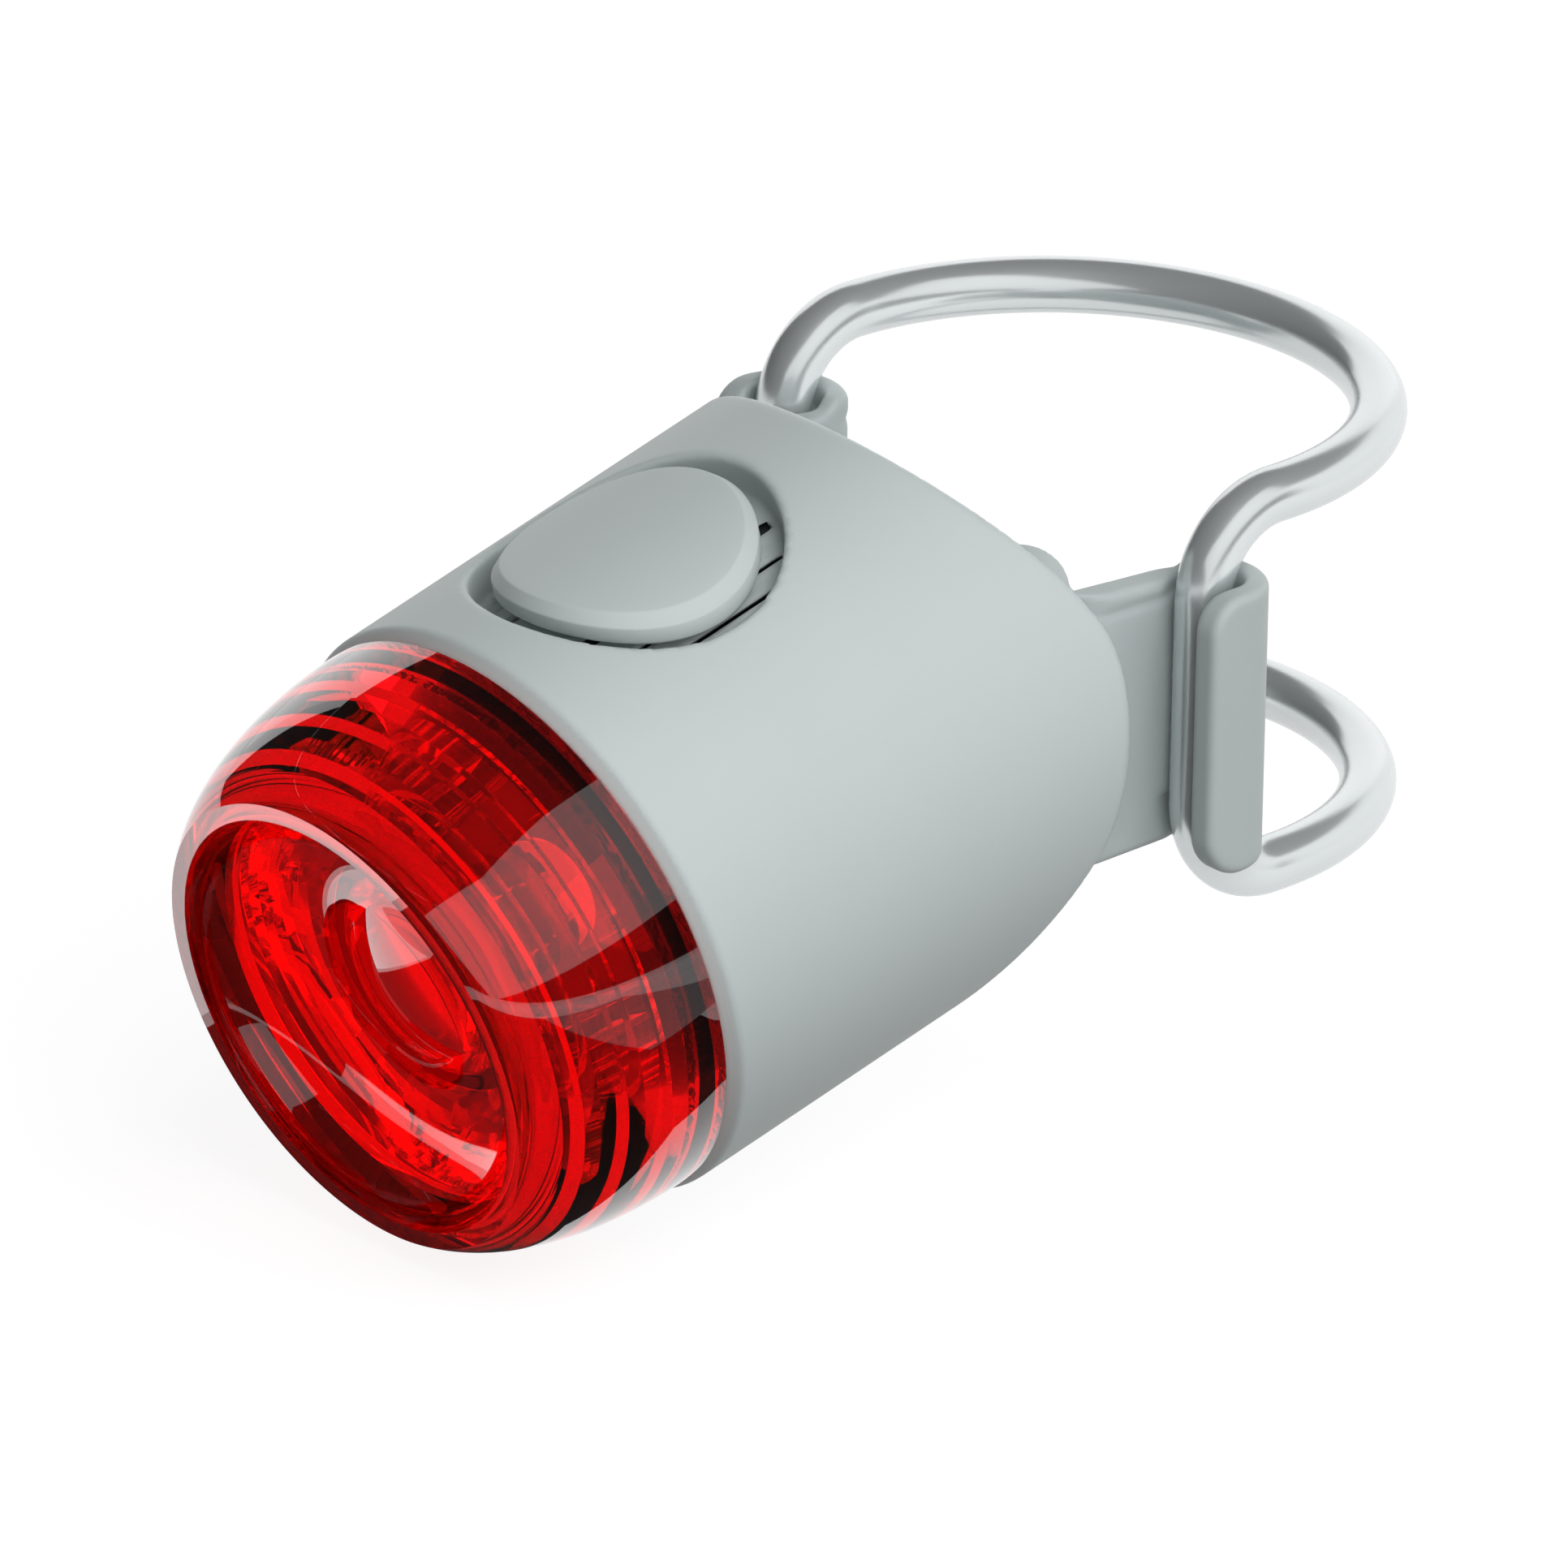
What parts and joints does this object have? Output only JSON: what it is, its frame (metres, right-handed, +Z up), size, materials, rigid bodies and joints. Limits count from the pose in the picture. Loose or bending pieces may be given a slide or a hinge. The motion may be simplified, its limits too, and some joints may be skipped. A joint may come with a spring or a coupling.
{
  "type": "bike rear light",
  "caption": "Small rechargeable rear bike light: round silicone body, domed red lens, push button on top, and a saddle strap that a sprung wire clip closes round the seat post.",
  "frame": {"origin": "on the seat post's axis, level with the middle of the strap", "axes": "+Z up along the post; -Y the way the lens faces; +X the near side in the picture"},
  "size_m": [0.0358, 0.0636, 0.036],
  "materials": {
    "body_silicone": "matte",
    "strap_silicone": "matte",
    "red_lens": "clear red, glossy",
    "black_rubber": "matte",
    "red_guide": "clear red, faceted",
    "clear_optic": "clear, glossy",
    "white_board": "solder mask",
    "led_yellow": "phosphor",
    "small_steel": "satin",
    "black_plastic": "moulded",
    "green_board": "solder mask",
    "gold_pins": "plated",
    "white_plastic": "moulded",
    "cell_foil": "foil",
    "grey_foam": "foam",
    "red_lead": "insulated",
    "polished_wire": "polished stainless steel"
  },
  "bodies": {
    "light": {"silicone_sleeve": "body_silicone", "lens": "red_lens", "lens_gasket": "black_rubber", "light_guide": "red_guide", "centre_optic": "clear_optic", "led_board": "white_board", "leds": "led_yellow", "led_board_screws": "small_steel", "inner_case": "black_plastic", "main_board": "green_board", "board_pins": "gold_pins", "board_chips": "black_plastic", "tact_switch": "black_plastic", "usb_socket": "small_steel", "usb_tongue": "black_plastic", "battery_cell": "cell_foil", "cell_foam": "grey_foam", "battery_leads": "red_lead", "strap": "strap_silicone"},
    "button": {"button_cap": "body_silicone"},
    "plunger": {"switch_plunger": "white_plastic"},
    "cover": {"port_cover": "body_silicone"},
    "near_hook": {"near_lip": "strap_silicone"},
    "far_hook": {"far_lip": "strap_silicone"},
    "clip": {"wire_clip": "polished_wire"}
  },
  "joints": [
    {"name": "button_press", "type": "slide", "parent": "light", "child": "button", "axis": [0, 0.2756, -0.9613], "range_m": [0, 0.0006], "stiffness_N_per_m": 300},
    {"name": "plunger_press", "type": "slide", "parent": "light", "child": "plunger", "axis": [0, 0.2756, -0.9613], "range_m": [0, 0.0006], "stiffness_N_per_m": 300},
    {"name": "port_cover_open", "type": "hinge", "parent": "light", "child": "cover", "pos_m": [-0.01423, -0.02366, -0.00361], "axis": [0, -0.9613, -0.2756], "range_deg": [0, 70], "stiffness_Nm_per_rad": 0.01},
    {"name": "near_lip_flex", "type": "hinge", "parent": "light", "child": "near_hook", "pos_m": [0.01698, -0.00333, 0], "axis": [0, 0, 1], "range_deg": [0, 50], "stiffness_Nm_per_rad": 0.05},
    {"name": "far_lip_flex", "type": "hinge", "parent": "light", "child": "far_hook", "pos_m": [-0.01698, -0.00333, 0], "axis": [0, 0, -1], "range_deg": [0, 50], "stiffness_Nm_per_rad": 0.05},
    {"name": "clip_swing", "type": "hinge", "parent": "light", "child": "clip", "pos_m": [-0.01483, -0.00433, 0], "axis": [0, 0, 1], "range_deg": [-3.4, 0], "stiffness_Nm_per_rad": 0.5}
  ],
  "couplings": [
    {"joint": "plunger_press", "follows": "button_press", "ratio": 1}
  ]
}
